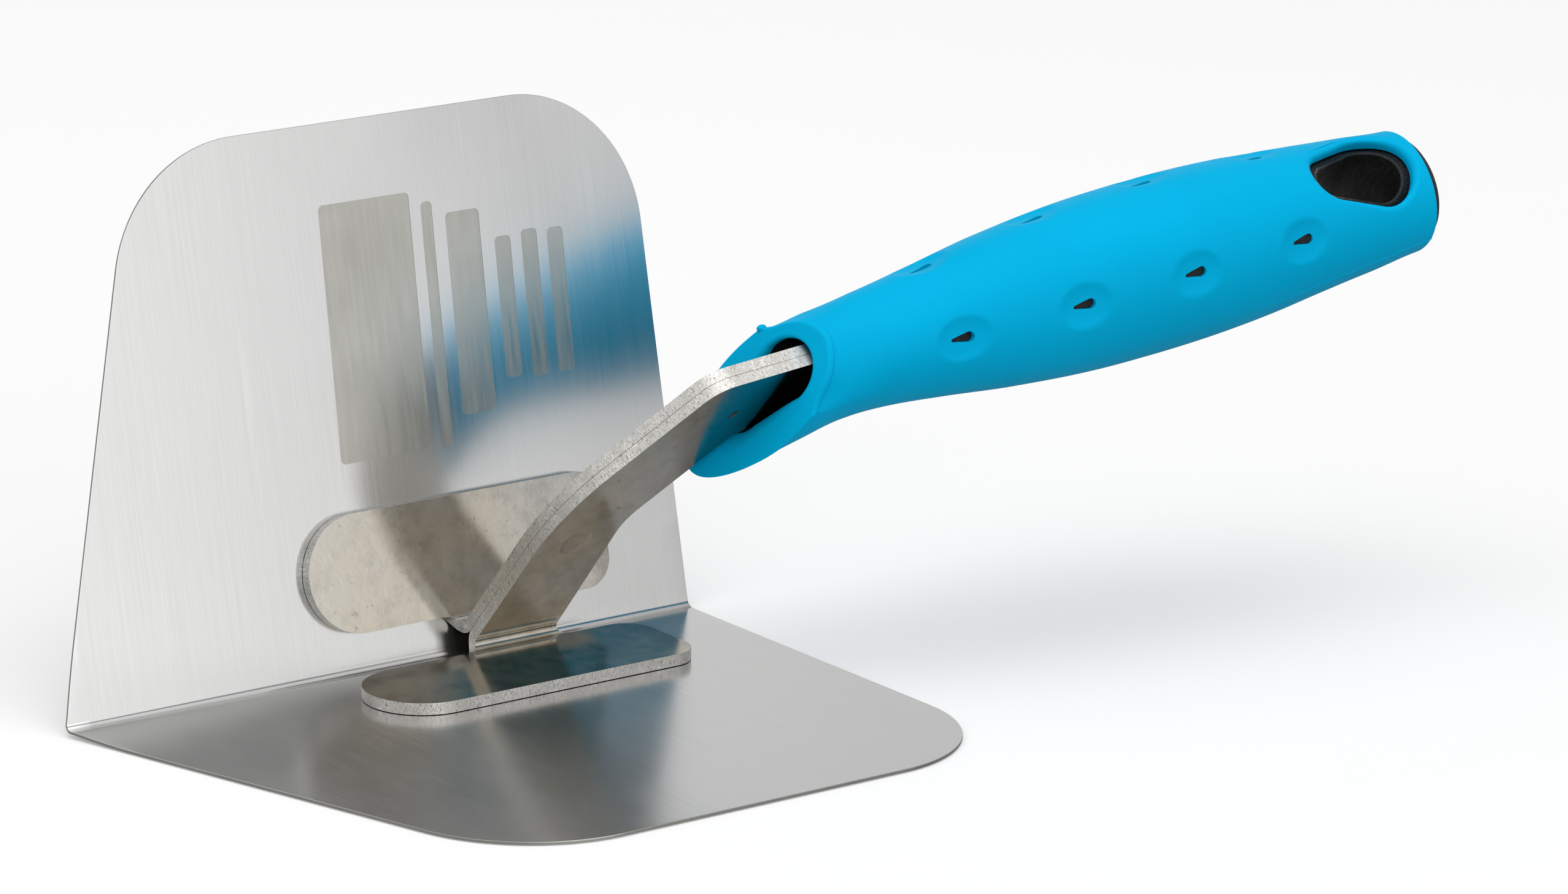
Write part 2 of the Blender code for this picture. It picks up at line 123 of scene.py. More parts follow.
# reach, rise of the top, drop of the underside, half width, squareness above and below the middle
HANDLE_STATIONS = (
    (-0.0200, 0.0060, 0.0247, 0.0090, 1.5, 2.4),
    (-0.0130, 0.0066, 0.0208, 0.0095, 1.5, 2.4),
    (-0.0060, 0.0071, 0.0164, 0.0097, 1.5, 2.6),
    (0.0010, 0.0073, 0.0133, 0.0094, 1.5, 2.6),
    (0.0080, 0.0079, 0.0109, 0.0092, 1.75, 2.3),
    (0.0160, 0.0090, 0.0106, 0.0095, 2.15, 2.15),
    (0.0270, 0.0109, 0.0112, 0.0109, 2.1, 2.1),
    (0.0400, 0.0133, 0.0131, 0.0128, 2.0, 2.0),
    (0.0550, 0.0149, 0.0146, 0.0141, 2.0, 2.0),
    (0.0680, 0.0154, 0.0150, 0.0145, 2.0, 2.0),
    (0.0800, 0.0152, 0.0149, 0.0144, 2.0, 2.0),
    (0.0920, 0.0143, 0.0141, 0.0138, 2.0, 2.0),
    (0.1050, 0.0129, 0.0127, 0.0126, 2.0, 2.0),
    (0.1150, 0.0116, 0.0119, 0.0117, 2.0, 2.0),
    (0.1240, 0.0104, 0.0110, 0.0108, 2.0, 2.0),
)
RIM_END = 0.1249
RIM_DRAW = 0.0007
RIM_INSET = 0.0010
RIM_STEPS = 8
BUTT_DOME = 0.0036
DOME_STEPS = 12
CORE_FRONT = 0.0085
RING_SIDES = 160

# Sleeve surface
ROW_SPACING = 0.0006
SLANT_END = (0.005, 0.032)  # the rows turn from the nose's slant to square between these
NOSE_EDGE = 0.00030
LIP_WIDTH = 0.0008
LIP_RISE = 0.00034
LIP_GROOVE = 0.00016
LIP_STEP = 0.00024
PINCH_DEPTH = 0.0010  # the nose is drawn in at its shoulders, and fills out again behind it
PINCH_TURN = radians(70)
PINCH_SPREAD = radians(22)
PINCH_LENGTH = 0.0060
SEAM_TURNS = (0.004, 0.012, 0.03)  # extra columns each side of the parting line
SEAM_WIDTH = 0.012
SEAM_RISE = 0.00019
SEAM_START = 0.080
SEAM_FADE = 0.012

# Mouth: (reach, rise of the top, rise of the bottom, half width above, below)
MOUTH_OUTER = (-0.022, 0.0047, -0.0184, 0.0054, 0.0030)
MOUTH_INNER = (0.0086, 0.0045, -0.0082, 0.0052, 0.0027)
MOUTH_OFFSET = -0.0004
MOUTH_FILLET = (0.0009, 0.0024)  # round the top, round the foot
THROAT_DEPTH = 0.0016  # of the black core behind the nose face, round the tang; brought this far forward, it is also painted shade deep in the mouth
THROAT_WALL = 0.0006
THROAT_PAST = 0.003  # how far the slot for the tang runs on through the core's front
MOUTH_START = -8  # ahead of the nose face, as a share of the fillet
SIDE_STEPS = 14
SOLVE_STEPS = 14  # rounds that settle a point of a slanted row on the surface

# Hang hole
HOLE_TIP = 0.1021
HOLE_CENTRE = 0.1154
HOLE_RADIUS = 0.0070
HOLE_TIP_RADIUS = 0.0048
HOLE_FILLET = 0.0016
LINER_LEDGE = 0.0017
BORE_FILLET = 0.0006
CUT_SPAN = 0.03

# Grip windows
WINDOW_REACHES = (0.0287, 0.0509, 0.0727, 0.0953)
WINDOW_TURN = radians(46)
WINDOW_LENGTH = 0.0042
WINDOW_RADIUS = 0.0009
WINDOW_PAST = 0.002  # how far the cutting prisms stand out of the surface
NUB_DROP = 0.0015
NUB_ROOT = 0.001  # how far the nubs reach down into the core
NUB_GAP = 0.00006
DIMPLE_HALF_LENGTH = 0.0048
DIMPLE_HALF_WIDTH = 0.0038
DIMPLE_DEPTH = 0.0010
DIMPLE_EDGE = 0.7  # below 1 is a crisper edge and a flatter floor
FLASH_SIZE = (0.0009, 0.0006, 0.0006)

# Camera and light
CAMERA_PLACE = (0.87398, -0.61945, 0.35042)
CAMERA_VIEW = (-0.76675, 0.58322, -0.26822)
CAMERA_ROLL = radians(0.91)
CAMERA_LENS = 160.16
CAMERA_SHIFT = (0.0078, -0.0098)
FLOOR_SIZE = 40.0
FLOOR_GLOW = 0.16
WORLD_STRENGTH = 1.75
FLOOR_DROP = 0.0002  # below the blade, so the two don't share a plane
OVERHEAD_PLACE = (0.1, -0.2, 1.2)
OVERHEAD_TARGET = (0, 0.05, 0.03)
OVERHEAD_SIZE = 1.0
OVERHEAD_POWER = 3
# The walls' brightness: (height of the direction looked in, level there)
RIGHT_WALL = (
    (-1, 0.26), (-0.05, 0.36), (0.0, 0.90), (0.30, 0.90), (0.47, 0.80),
    (0.54, 0.20), (0.63, 0.12), (0.71, 0.50), (0.80, 0.74), (1.0, 0.80),
)
LEFT_WALL = (
    (-1, 0.26), (-0.05, 0.36), (0.0, 0.86), (0.24, 0.80), (0.36, 0.64),
    (0.50, 0.34), (0.68, 0.24), (0.80, 0.32), (0.90, 0.74), (1.0, 0.80),
)
FRONT_WALL = ((-1, 0.20), (0.0, 0.20), (0.12, 0.26), (0.40, 0.62), (0.60, 0.62), (0.80, 0.50), (1.0, 0.80))
# The side walls' shade: (how far along the fold the direction points, share of the light there)
RIGHT_SHADE = ((-1, 0.80), (0.25, 1.0), (0.49, 1.0), (0.58, 0.28), (0.70, 0.30), (1.0, 0.45))
LEFT_SHADE = ((-1, 0.34), (0.1, 0.36), (0.36, 0.70), (0.48, 0.80), (0.60, 0.60), (1.0, 0.50))

HALF_CORNER = CORNER_ANGLE / 2
APEX = Vector((-WING_WIDTH / 2, 0, 0))
ALONG = Vector((0, 1, 0))
OUT = Vector((cos(HALF_CORNER), 0, sin(HALF_CORNER)))
ACROSS = Vector((sin(HALF_CORNER), 0, -cos(HALF_CORNER)))
REACH = ALONG * cos(HANDLE_LEAN) + OUT * sin(HANDLE_LEAN)
RISE = OUT * cos(HANDLE_LEAN) - ALONG * sin(HANDLE_LEAN)


# Places


def corner_point(along, out, across):
    """along the fold, out from it in the plane that halves the corner, across towards the lower wing."""
    return APEX + ALONG * along + OUT * out + ACROSS * across


def wing_point(along, width, height, side):
    """width from the fold, height off the wing's outer face. side is 1 for the lower wing, -1 for the
    upper."""
    out = width * cos(HALF_CORNER) + height * sin(HALF_CORNER)
    across = width * sin(HALF_CORNER) - height * cos(HALF_CORNER)
    return corner_point(along, out, side * across)


def handle_point(reach, rise, across):
    """reach along the handle's axis, rise away from the fold at right angles to it."""
    return corner_point(*HANDLE_ORIGIN, 0) + REACH * reach + RISE * rise + ACROSS * across


def on_corner(reach, rise):
    """(along, out) of a point given on the handle."""
    along, out = HANDLE_ORIGIN
    return (
        along + reach * cos(HANDLE_LEAN) - rise * sin(HANDLE_LEAN),
        out + reach * sin(HANDLE_LEAN) + rise * cos(HANDLE_LEAN),
    )


def crossing(point, angle, other, other_angle):
    """Where two lines cross, each given by a point and its direction."""
    gap = (other[0] - point[0], other[1] - point[1])
    turn = cos(angle) * sin(other_angle) - sin(angle) * cos(other_angle)
    step = (gap[0] * sin(other_angle) - gap[1] * cos(other_angle)) / turn
    return point[0] + step * cos(angle), point[1] + step * sin(angle)


def rounded(before, corner, after, radius, steps=16):
    """The arc that rounds a corner between two straight edges, as a list of points."""
    inward = [(p[0] - corner[0], p[1] - corner[1]) for p in (before, after)]
    lengths = [hypot(*v) for v in inward]
    first, last = [(v[0] / n, v[1] / n) for v, n in zip(inward, lengths)]
    half = atan2(abs(first[0] * last[1] - first[1] * last[0]), first[0] * last[0] + first[1] * last[1]) / 2
    middle = (first[0] + last[0], first[1] + last[1])
    scale = radius / sin(half) / hypot(*middle)
    centre = (corner[0] + middle[0] * scale, corner[1] + middle[1] * scale)
    reach = radius / tan(half)
    start = atan2(corner[1] + first[1] * reach - centre[1], corner[0] + first[0] * reach - centre[0])
    end = atan2(corner[1] + last[1] * reach - centre[1], corner[0] + last[0] * reach - centre[0])
    sweep = (end - start + pi) % (2 * pi) - pi
    turns = [start + sweep * k / steps for k in range(steps + 1)]
    return [(centre[0] + radius * cos(t), centre[1] + radius * sin(t)) for t in turns]


# Meshes


@contextmanager
def editing(mesh):
    """The mesh as a bmesh, which is written back at the end."""
    work = bmesh.new()
    work.from_mesh(mesh)
    yield work
    work.to_mesh(mesh)
    work.free()


def mesh_from(name, points, faces, marks=None):
    """marks gives each face's material index."""
    mesh = bpy.data.meshes.new(name)
    with editing(mesh) as work:
        corners = [work.verts.new(point) for point in points]
        for number, face in enumerate(faces):
            made = work.faces.new([corners[k] for k in face])
            if marks:
                made.material_index = marks[number]
        bmesh.ops.recalc_face_normals(work, faces=work.faces)
    return mesh


def loft(name, rings):
    """A closed solid through rings of the same number of points, with flat ends."""
    count = len(rings[0])
    points = [point for ring in rings for point in ring]
    faces = [list(range(count)), list(range(len(points) - count, len(points)))]
    for low in range(0, len(points) - count, count):
        for k in range(count):
            following = (k + 1) % count
            faces.append([low + k, low + following, low + count + following, low + count + k])
    return mesh_from(name, points, faces)


def add_object(name, mesh, finishes=(), sharp=35):
    obj = bpy.data.objects.new(name, mesh)
    bpy.context.scene.collection.objects.link(obj)
    for finish in finishes:
        mesh.materials.append(finish)
    mesh.shade_smooth()
    mesh.set_sharp_from_angle(angle=radians(sharp))
    return obj


def even_shading(obj, sharp=35):
    """Keeps flat faces flat and blends the normals only over the rounded edges. It also closes up the
    slivers that booleans leave, and deletes stray faces, which have an open edge."""
    with editing(obj.data) as work:
        bmesh.ops.dissolve_degenerate(work, edges=work.edges, dist=2 * HAIR)
    obj.data.shade_smooth()
    obj.data.set_sharp_from_angle(angle=radians(sharp))
    modifier = obj.modifiers.new("normals", "WEIGHTED_NORMAL")
    modifier.keep_sharp = True
    modifier = obj.modifiers.new("triangles", "TRIANGULATE")
    modifier.min_vertices = 5
    modifier.keep_custom_normals = True
    settle(obj)
    with editing(obj.data) as work:
        stray = [face for face in work.faces if any(edge.is_boundary for edge in face.edges)]
        bmesh.ops.delete(work, geom=stray, context="FACES")


def bevel(obj, width, segments=2, limit=30, finish=-1):
    modifier = obj.modifiers.new("bevel", "BEVEL")
    modifier.width = width
    modifier.segments = segments
    modifier.material = finish
    modifier.limit_method = "ANGLE"
    modifier.angle_limit = radians(limit)


def cut(obj, *tools, operation="DIFFERENCE", keep_finish=False):
    """Takes each tool out of obj, or with UNION adds it, then deletes the tools."""
    for tool in tools:
        modifier = obj.modifiers.new(tool.name, "BOOLEAN")
        modifier.operation = operation
        modifier.solver = "EXACT"
        modifier.material_mode = "TRANSFER" if keep_finish else "INDEX"
        modifier.object = tool
    settle(obj)
    for tool in tools:
        bpy.data.objects.remove(tool, do_unlink=True)


def join_solids(name, objects):
    """One object made of solids that don't touch."""
    finishes = []
    mesh = bpy.data.meshes.new(name)
    with editing(mesh) as work:
        for obj in objects:
            start = len(work.faces)
            work.from_mesh(obj.data)
            work.faces.ensure_lookup_table()
            for finish in obj.data.materials:
                if finish not in finishes:
                    finishes.append(finish)
            if obj.data.materials:
                for face in work.faces[start:]:
                    face.material_index = finishes.index(obj.data.materials[face.material_index])
    for obj in objects:
        bpy.data.objects.remove(obj, do_unlink=True)
    return add_object(name, mesh, finishes)


def settle(obj):
    """Applies the object's modifiers to its mesh."""
    graph = bpy.context.evaluated_depsgraph_get()
    mesh = bpy.data.meshes.new_from_object(obj.evaluated_get(graph))
    obj.modifiers.clear()
    obj.data = mesh


def folded_plate(name, first, rows, last):
    """A plate folded once. first and last are the outlines of its two flat parts, and rows cross
    the bend between them. Each place is a pair of points, one on either skin; a row holds the
    bend's two ends. Material 0 is the skins, 1 the rim of first, and 2 the rim of the rest."""
    loop = [rows[0][1], *first, *(row[0] for row in rows), *last, *(row[1] for row in reversed(rows[1:]))]
    count = len(loop)
    flat = 1 + len(first)
    bend = len(rows)
    points = [pair[skin] for skin in (0, 1) for pair in loop]
    faces = []
    for skin in (0, count):
        faces.append([skin + k for k in range(flat + 1)])
        faces.append([skin + k for k in range(flat + bend - 1, flat + bend + len(last) + 1)])
        for k in range(bend - 1):
            rear = (count - k) % count
            faces.append([skin + flat + k, skin + flat + k + 1, skin + count - k - 1, skin + rear])
    marks = [0] * len(faces)
    for k in range(count):
        following = (k + 1) % count
        faces.append([k, following, count + following, count + k])
        marks.append(1 if k < flat else 2)
    return mesh_from(name, points, faces, marks)


# Material nodes


def start_material(name, colour, roughness, metallic=0.0):
    """colour and roughness are what a reader without the nodes shows."""
    made = bpy.data.materials.new(name)
    made.use_nodes = True
    shader = made.node_tree.nodes["Principled BSDF"]
    shader.inputs["Base Color"].default_value = (*colour, 1)
    shader.inputs["Roughness"].default_value = roughness
    shader.inputs["Metallic"].default_value = metallic
    return made, made.node_tree, shader


def feed(socket, value):
    """Links another socket in, or sets a number, vector or colour."""
    if isinstance(value, bpy.types.NodeSocket):
        socket.id_data.links.new(value, socket)
    elif socket.type == "RGBA":
        socket.default_value = (*value, 1)
    else:
        socket.default_value = value


def add_node(tree, kind, **inputs):
    """A node with the named inputs fed. An underscore stands for a space."""
    made = tree.nodes.new("ShaderNode" + kind)
    for name, value in inputs.items():
        feed(made.inputs[name.replace("_", " ")], value)
    return made


def noise(tree, scale, stretch=(1, 1, 1), turn=(0, 0, 0), detail=4.0, roughness=0.55):
    """Noise over the object's own coordinates. stretch multiplies the frequency along each axis."""
    place = add_node(tree, "TexCoord").outputs["Object"]
    mapping = add_node(tree, "Mapping", Vector=place, Rotation=turn, Scale=[1 / s for s in stretch])
    mapping.vector_type = "TEXTURE"
    turned = mapping.outputs["Vector"]
    made = add_node(tree, "TexNoise", Vector=turned, Scale=scale, Detail=detail, Roughness=roughness)
    return made.outputs["Fac"]


def spread(value, low, high, start=0.3, end=0.7):
    """value from start..end becomes low..high, held at the ends."""
    ends = {"From_Min": start, "From_Max": end, "To_Min": low, "To_Max": high}
    return add_node(value.id_data, "MapRange", Value=value, **ends).outputs["Result"]


def mix(factor, first, second):
    """Mixes two colours, each an (r, g, b) or a socket."""
    made = add_node(factor.id_data, "Mix")
    made.data_type = "RGBA"
    feed(made.inputs["Factor"], factor)
    for socket, colour in zip((s for s in made.inputs if s.type == "RGBA"), (first, second)):
        feed(socket, colour)
    return next(s for s in made.outputs if s.type == "RGBA")


def combine(operation, *values):
    """The first of the values is a socket, and the others are sockets or numbers."""
    made = add_node(values[0].id_data, "Math")
    made.operation = operation
    for socket, value in zip(made.inputs, values):
        feed(socket, value)
    return made.outputs["Value"]


def surface(shader, colour, roughness, *layers):
    """Feeds the colour and roughness, and lays bumps, (height, strength, distance), one on another."""
    feed(shader.inputs["Base Color"], colour)
    feed(shader.inputs["Roughness"], roughness)
    for height, strength, distance in layers:
        made = add_node(shader.id_data, "Bump", Height=height, Strength=strength, Distance=distance)
        for link in shader.inputs["Normal"].links:
            feed(made.inputs["Normal"], link.from_socket)
        feed(shader.inputs["Normal"], made.outputs["Normal"])


# Materials


def handle_reach(tree):
    """How far along the handle each point lies, in metres from the handle's origin."""
    along = add_node(tree, "VectorMath")
    along.operation = "DOT_PRODUCT"
    feed(along.inputs[0], add_node(tree, "TexCoord").outputs["Object"])
    feed(along.inputs[1], REACH)
    return combine("SUBTRACT", along.outputs["Value"], handle_point(0, 0, 0).dot(REACH))


def satin_sheet():
    """Cold-rolled stainless sheet: a fine grain across the fold, faint clouds and a few rubs."""
    made, tree, shader = start_material("satin_sheet", (0.66, 0.66, 0.655), 0.2, 1)
    grain = noise(tree, 9, (4, 260, 4), detail=6, roughness=0.6)
    clouds = noise(tree, 22, (1, 1.6, 1), detail=3)
    rubs = noise(tree, 30, (1, 14, 1), detail=5, roughness=0.7)
    tint = mix(spread(clouds, 0, 1), (0.645, 0.645, 0.64), (0.69, 0.69, 0.682))
    worn = mix(spread(rubs, 0, 1, 0.62, 0.8), tint, (0.72, 0.715, 0.70))
    uneven = combine("ADD", spread(grain, -0.02, 0.03), spread(clouds, 0.185, 0.235))
    surface(shader, worn, uneven, (grain, 0.10, 0.00002), (clouds, 0.05, 0.0002))
    return made


def etched_steel():
    """The panels' floor: duller and a little yellower than the sheet round it."""
    made, tree, shader = start_material("etched_steel", (0.50, 0.48, 0.44), 0.34, 1)
    grain = noise(tree, 40, (2, 30, 2), detail=5)
    clouds = noise(tree, 60, detail=3)
    tint = mix(spread(clouds, 0, 1), (0.47, 0.455, 0.415), (0.54, 0.525, 0.485))
    surface(shader, tint, spread(grain, 0.27, 0.40), (grain, 0.15, 0.00002))
    return made


def mill_plate():
    """Hot-rolled stainless plate: warm, blotched, with fine pits and rubs, and painted shade on the shank
    where it goes into the mouth.
    """
    made, tree, shader = start_material("mill_plate", (0.50, 0.47, 0.42), 0.2, 1)
    broad = noise(tree, 55, detail=4, roughness=0.55)
    blotches = noise(tree, 260, detail=6, roughness=0.65)
    fine = noise(tree, 2200, detail=3)
    pits = noise(tree, 700, (1, 1, 1), (0.4, 0.7, 0.2), detail=2)
    rubs = noise(tree, 150, (1, 9, 3), (0.3, 0.5, 0.2), detail=5, roughness=0.75)
    tint = mix(spread(broad, 0, 1, 0.38, 0.62), (0.53, 0.515, 0.485), (0.56, 0.515, 0.435))
    mottled = mix(spread(blotches, 0.55, 0, 0.34, 0.56), tint, (0.40, 0.37, 0.325))
    worn = mix(spread(rubs, 0, 0.7, 0.60, 0.76), mottled, (0.68, 0.66, 0.62))
    pitted = mix(spread(pits, 0.5, 0, 0.24, 0.32), worn, (0.22, 0.20, 0.18))
    # painted shade: the plate turns dark towards the handle's mouth, where the shank goes in
    mouth_shaded = mix(spread(handle_reach(tree), 0, 0.55, *MOUTH_SHADE_REACH), pitted, (0.10, 0.105, 0.11))
    uneven = combine("ADD", spread(blotches, 0.11, 0.18), spread(fine, -0.02, 0.04))
    bumps = (blotches, 0.07, 0.00012), (fine, 0.10, 0.00002), (rubs, 0.06, 0.00003)
    surface(shader, mouth_shaded, uneven, *bumps)
    return made


def cut_edge(name, thickness):
    """A sheared edge: short striations that run through the plate, peppered with dark nicks."""
    made, tree, shader = start_material(name, (0.55, 0.53, 0.50), 0.34, 1)
    turn = Vector((0, 0, 1)).rotation_difference(thickness).to_euler()
    streaks = noise(tree, 700, (8, 8, 2.6), turn, detail=7, roughness=0.8)
    broad = noise(tree, 90, (4, 4, 1.5), turn, detail=4)
    specks = noise(tree, 2000, (1.4, 1.4, 0.7), turn, detail=3)
    tint = mix(spread(streaks, 0, 1, 0.40, 0.60), (0.40, 0.385, 0.36), (0.86, 0.85, 0.82))
    shaded = mix(spread(broad, 0, 0.6, 0.36, 0.64), tint, (0.50, 0.48, 0.45))
    dark = mix(spread(specks, 0, 0.8, 0.60, 0.72), shaded, (0.08, 0.075, 0.07))
    bumps = (streaks, 0.55, 0.00008), (specks, 0.35, 0.00005)
    surface(shader, dark, spread(streaks, 0.40, 0.22), *bumps)
    return made


def worn_and_highlit_corner():
    """The plates' rounded corners, brighter than the faces beside them: edge wear and a painted highlight."""
    made, tree, shader = start_material("worn_and_highlit_corner", (0.60, 0.58, 0.54), 0.28, 1)
    rubs = noise(tree, 900, detail=5, roughness=0.7)
    broad = noise(tree, 120, detail=3)
    tint = mix(spread(rubs, 0, 1, 0.35, 0.62), (0.34, 0.32, 0.29), (0.72, 0.70, 0.67))
    shaded = mix(spread(broad, 0, 0.6, 0.42, 0.66), tint, (0.40, 0.375, 0.34))
    surface(shader, shaded, spread(rubs, 0.36, 0.22), (rubs, 0.3, 0.00005))
    return made


def cloudy_steel(name, scale, dark, light, roughness, strength, distance):
    """Steel that a weld has clouded. roughness is a (low, high) pair."""
    made, tree, shader = start_material(name, light, roughness[0], 1)
    clouds = noise(tree, scale, detail=4)
    tint = mix(spread(clouds, 0, 1), dark, light)
    surface(shader, tint, spread(clouds, *roughness), (clouds, strength, distance))
    return made


def soft_grip():
    """Overmoulded elastomer: saturated, nearly matt, with a fine moulded texture and slight scuffs."""
    made, tree, shader = start_material("soft_grip", (0.0, 0.48, 0.83), 0.5)
    clouds = noise(tree, 45, detail=3)
    fine = noise(tree, 1700, detail=3)
    scuffs = noise(tree, 160, (1, 4, 1), (0.4, 0.2, 0.3), detail=5, roughness=0.75)
    tint = mix(spread(clouds, 0, 1), (0.0, 0.465, 0.81), (0.0, 0.49, 0.85))
    scuffed = mix(spread(scuffs, 0, 0.3, 0.60, 0.8), tint, (0.0, 0.44, 0.78))
    shader.inputs["Specular IOR Level"].default_value = 0.03
    bumps = (fine, 0.12, 0.00003), (scuffs, 0.05, 0.00005)
    surface(shader, scuffed, spread(scuffs, 0.42, 0.56), *bumps)
    return made


def hard_core():
    """Black moulded plastic with a fine sparkle of moulding texture."""
    made, tree, shader = start_material("hard_core", (0.008, 0.008, 0.009), 0.5)
    clouds = noise(tree, 260, detail=4)
    fine = noise(tree, 2400, detail=4, roughness=0.7)
    tint = mix(spread(fine, 0, 1, 0.5, 0.72), (0.006, 0.006, 0.007), (0.045, 0.042, 0.04))
    shader.inputs["Specular IOR Level"].default_value = 0.3
    surface(shader, tint, spread(clouds, 0.42, 0.6), (fine, 0.5, 0.00008))
    return made


def scraped_bore():
    """The hang hole's wall: black plastic scraped paler in streaks that run through it."""
    made, tree, shader = start_material("scraped_bore", (0.01, 0.01, 0.01), 0.45)
    turn = Vector((0, 0, 1)).rotation_difference(RISE).to_euler()
    streaks = noise(tree, 620, (3.5, 3.5, 0.8), turn, detail=8, roughness=0.8)
    clouds = noise(tree, 170, detail=4)
    fine = noise(tree, 2400, detail=4, roughness=0.7)
    # The pale streaks are strongest at the hole's tip and fade towards its round end.
    near_tip = spread(handle_reach(tree), 1, 0.12, HOLE_TIP, HOLE_TIP + HOLE_RADIUS * 1.2)
    scraped = combine("MULTIPLY", spread(streaks, 0.05, 1, 0.46, 0.66), near_tip)
    blotched = combine("MULTIPLY", scraped, spread(clouds, 0.35, 1, 0.4, 0.6))
    tint = mix(blotched, (0.004, 0.004, 0.005), (0.42, 0.40, 0.38))
    shader.inputs["Specular IOR Level"].default_value = 0.35
    bumps = (streaks, 0.7, 0.00012), (fine, 0.4, 0.00006)
    surface(shader, tint, spread(streaks, 0.55, 0.36), *bumps)
    return made


def pale_floor():
    made, tree, shader = start_material("pale_floor", (0.92, 0.92, 0.92), 0.9)
    clouds = noise(tree, 3, detail=2)
    tint = mix(clouds, (0.91, 0.91, 0.91), (0.93, 0.93, 0.93))
    feed(shader.inputs["Base Color"], tint)
    shader.inputs["Emission Color"].default_value = (1, 1, 1, 1)
    shader.inputs["Emission Strength"].default_value = FLOOR_GLOW
    shader.inputs["Specular IOR Level"].default_value = 0.1
    return made


# Blade


def blade_mesh():
    outer = FOLD_RADIUS + SHEET
    start = outer / tan(HALF_CORNER)
    heel = FOLD_LENGTH / 2

    def toe(width):
        return -FOLD_LENGTH / 2 + width * tan(TOE_SLANT)

    heel_inner, heel_outer = (heel, start), (heel, WING_WIDTH)
    toe_outer, toe_inner = (toe(WING_WIDTH), WING_WIDTH), (toe(start), start)
    outline = rounded(heel_inner, heel_outer, toe_outer, HEEL_CORNER, 40)
    outline += rounded(heel_outer, toe_outer, toe_inner, TOE_CORNER, 40)

    def wing(side):
        return [[wing_point(along, width, height, side) for height in (0, SHEET)] for along, width in outline]

    def row(turn):
        centre = outer / sin(HALF_CORNER)
        return [
            [corner_point(along, centre - radius * cos(turn), radius * sin(turn))
             for radius in (outer, FOLD_RADIUS)]
            for along in (toe(start), heel)
        ]

    widest = pi / 2 - HALF_CORNER
    rows = [row(widest * (1 - 2 * k / FOLD_STEPS)) for k in range(FOLD_STEPS + 1)]
    return folded_plate("blade", wing(1), rows, wing(-1)[::-1])


def panel_tool(number, corner, size, finish):
    """A flat block that presses one etched panel into the upper wing."""
    (along, width), (long, wide) = corner, size
    box = [(along, width), (along + long, width), (along + long, width + wide), (along, width + wide)]
    outline = []
    for k in range(4):
        outline += rounded(box[k - 1], box[k], box[(k + 1) % 4], PANEL_CORNER, 6)
    leaned = [(a + (w - width) * PANEL_LEAN, w) for a, w in outline]
    heights = (SHEET - PANEL_DEPTH, SHEET + GAP)
    rings = [[wing_point(a, w, height, -1) for a, w in leaned] for height in heights]
    return add_object(f"panel_tool_{number}", loft(f"panel_tool_{number}", rings), [finish])


def band_width(along):
    for (start, first), (end, last) in zip(EASED_BAND, EASED_BAND[1:]):
        if along <= end:
            return first + (last - first) * max(along - start, 0) / (end - start)
    return EASED_BAND[-1][1]


def ease_fold(obj):
    """Lifts the sheet off its plane in a narrow band beside the fold, so it runs into the bend softly."""

    def from_fold(face):
        place = face.calc_center_median() - APEX
        return hypot(place.dot(OUT), place.dot(ACROSS))

    def split(work, centre, normal, chosen):
        geometry = {item for face in chosen for item in (face, *face.edges, *face.verts)}
        bmesh.ops.bisect_plane(work, geom=list(geometry), plane_co=centre, plane_no=normal, dist=HAIR)

    with editing(obj.data) as work:
        for side in (1, -1):
            direction = wing_point(0, 1, 0, side) - wing_point(0, 0, 0, side)
            for width in BAND_WIDTHS:
                chosen = [f for f in work.faces if (f.calc_center_median() - APEX).dot(ACROSS) * side > 0]
                split(work, wing_point(0, width, 0, side), direction, chosen)
        stop = wing_point(0, BAND_WIDTHS[-1] + HAIR, 0, 1)
        far = (stop - APEX).length
        for k in range(1, round(FOLD_LENGTH / BAND_STEP)):
            near = [face for face in work.faces if from_fold(face) < far]
            split(work, corner_point(k * BAND_STEP - FOLD_LENGTH / 2, 0, 0), ALONG, near)
        for corner in work.verts:
            place = corner.co - APEX
            along, out, across = place.dot(ALONG), place.dot(OUT), place.dot(ACROSS)
            width = out * cos(HALF_CORNER) + abs(across) * sin(HALF_CORNER)
            band = band_width(along)
            if width < band:
                lift = EASED_TILT * band / 2 * (1 - width / band) ** 2
                share = min(abs(across) / FOLD_RADIUS, 1) * (1 if across > 0 else -1)
                corner.co += (OUT * sin(HALF_CORNER) - ACROSS * cos(HALF_CORNER) * share) * lift


def add_blade():
    sheet, etched = satin_sheet(), etched_steel()
    blade = add_object("blade", blade_mesh(), [sheet, sheet, sheet])
    bevel(blade, SHEET_BEVEL)
    settle(blade)
    tools = [panel_tool(k, corner, size, etched) for k, (corner, size) in enumerate(PANELS, 1)]
    cut(blade, join_solids("panels", tools), keep_finish=True)
    ease_fold(blade)
    even_shading(blade)
    finish_piece(blade, "corner_blade")


# Brackets


